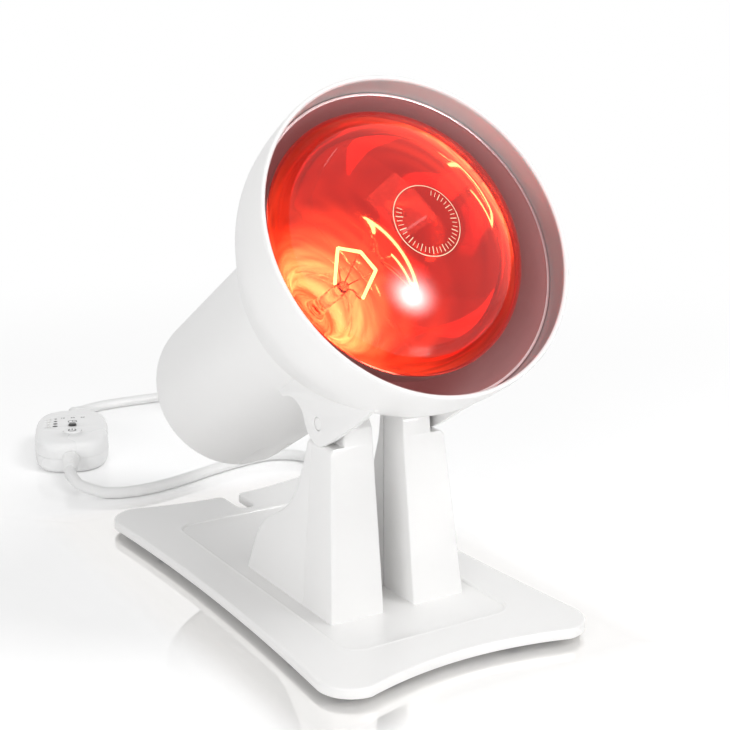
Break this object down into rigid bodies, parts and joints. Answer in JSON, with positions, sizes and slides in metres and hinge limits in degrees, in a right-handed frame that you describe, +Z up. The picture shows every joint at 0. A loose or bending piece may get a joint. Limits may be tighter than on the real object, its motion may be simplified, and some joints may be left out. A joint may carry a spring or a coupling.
{
  "type": "red heat lamp",
  "caption": "Table heat lamp: red reflector bulb in a bell housing that tilts between two hollow posts on a flat base, with a timer control on its cord.",
  "frame": {"origin": "on the surface that the feet and the control rest on, under the middle of the lamp's box, 2.4 mm behind the middle of the base plate", "axes": "+Z up, -Y to the front, where the bulb faces, +X to the lamp's left as seen from the front"},
  "size_m": [0.2397, 0.5036, 0.2625],
  "materials": {
    "white_plastic": "satin white",
    "cover_plastic": "matte white",
    "control_plastic": "satin white",
    "black_plastic": "satin black",
    "cord_pvc": "soft PVC, white",
    "wire_insulation": "PVC, white",
    "rubber": "soft rubber",
    "friction_plastic": "black",
    "steel": "zinc plated",
    "liner_metal": "matte spun aluminium",
    "brass": "plain",
    "ceramic": "unglazed",
    "red_glass": "red stained, polished",
    "silvered_glass": "silvered inside",
    "clear_glass": "clear",
    "cap_metal": "bright",
    "cap_glass": "black glass",
    "solder": "solder",
    "support_wire": "nickel wire",
    "filament": "coiled tungsten wire",
    "circuit_board": "green laminate",
    "black_parts": "black",
    "led_resin": "clear amber resin"
  },
  "bodies": {
    "base": {"base_top": "white_plastic", "ballast_plate": "steel", "base_cover": "cover_plastic", "rubber_feet": "rubber", "cover_screw_set": "steel", "post_screw_set": "steel", "post_front_left": "white_plastic", "post_rear_left": "white_plastic", "post_front_right": "white_plastic", "post_rear_right": "white_plastic", "pivot_screws": "steel", "pivot_nuts": "steel", "friction_washers": "friction_plastic", "lamp_relief": "cord_pvc", "cord_clamp": "steel", "post_wires": "wire_insulation", "control_top": "control_plastic", "control_bottom": "control_plastic", "control_screw_set": "steel", "control_board": "circuit_board", "control_switches": "black_parts", "control_leds": "led_resin", "control_triac": "black_parts", "relief_lamp_side": "cord_pvc", "relief_mains_side": "cord_pvc", "lamp_cord": "cord_pvc", "mains_cord": "cord_pvc", "cord_coil": "cord_pvc", "cord_tie": "black_parts", "plug_body": "cord_pvc", "plug_blades": "brass"},
    "head": {"shade": "white_plastic", "shade_liner": "liner_metal", "rear_body": "white_plastic", "shade_screws": "steel", "ear_left": "white_plastic", "ear_right": "white_plastic", "ear_screws": "steel", "lampholder": "ceramic", "holder_shell": "brass", "centre_contact": "brass", "holder_screws": "steel", "holder_terminals": "brass", "holder_bar": "steel", "holder_bar_screws": "steel", "head_wires": "wire_insulation", "bulb_face": "red_glass", "bulb_reflector": "silvered_glass", "bulb_cap": "cap_metal", "cap_insulator": "cap_glass", "cap_tip": "solder", "bulb_stem": "clear_glass", "bulb_supports": "support_wire", "bulb_filament": "filament", "pivot_caps": "white_plastic"},
    "timer_button": {"timer_button": "black_plastic"},
    "power_button": {"power_button": "control_plastic"}
  },
  "joints": [
    {"name": "head_tilt", "type": "hinge", "parent": "base", "child": "head", "pos_m": [0, -0.0484, 0.1012], "axis": [1, 0, 0], "range_deg": [-12, 16]},
    {"name": "timer_press", "type": "slide", "parent": "base", "child": "timer_button", "axis": [0, 0, -1], "range_m": [0, 0.0009], "stiffness_N_per_m": 600},
    {"name": "power_press", "type": "slide", "parent": "base", "child": "power_button", "axis": [0, 0, -1], "range_m": [0, 0.0009], "stiffness_N_per_m": 600}
  ]
}
